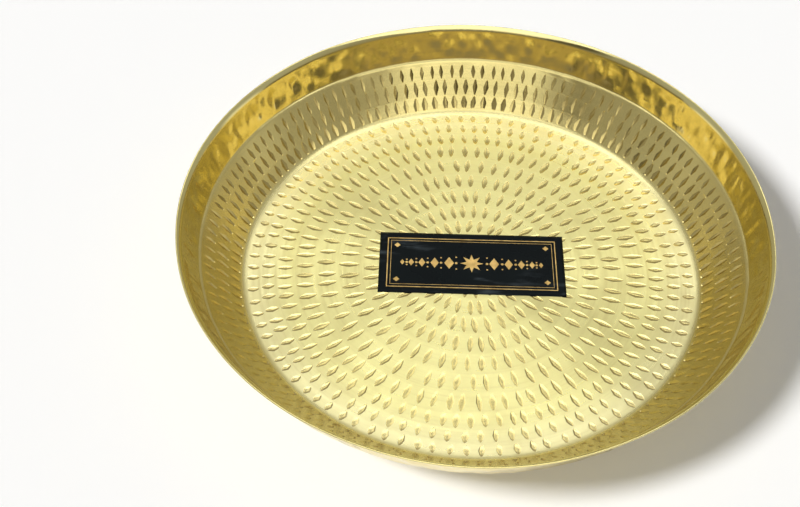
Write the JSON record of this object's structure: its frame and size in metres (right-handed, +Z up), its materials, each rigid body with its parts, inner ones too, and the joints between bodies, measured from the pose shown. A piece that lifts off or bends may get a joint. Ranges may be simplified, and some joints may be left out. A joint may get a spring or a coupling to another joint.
{
  "type": "dough kneading plate",
  "caption": "Wide shallow brass dish with a hammered floor and wall, a steep collar and a narrow flared lip, for kneading dough, with a film label on its floor.",
  "frame": {"origin": "centre of the flat underside, on the plate's axis", "axes": "+Z up along the plate's axis, +X along the label's width to its right, +Y to the back"},
  "size_m": [0.3098, 0.3098, 0.0455],
  "materials": {
    "brass": "hammered sheet brass, polished, with fine turning marks",
    "film": "glossy black printed film"
  },
  "bodies": {
    "root": {"dish": "brass", "label": "film"}
  },
  "joints": []
}
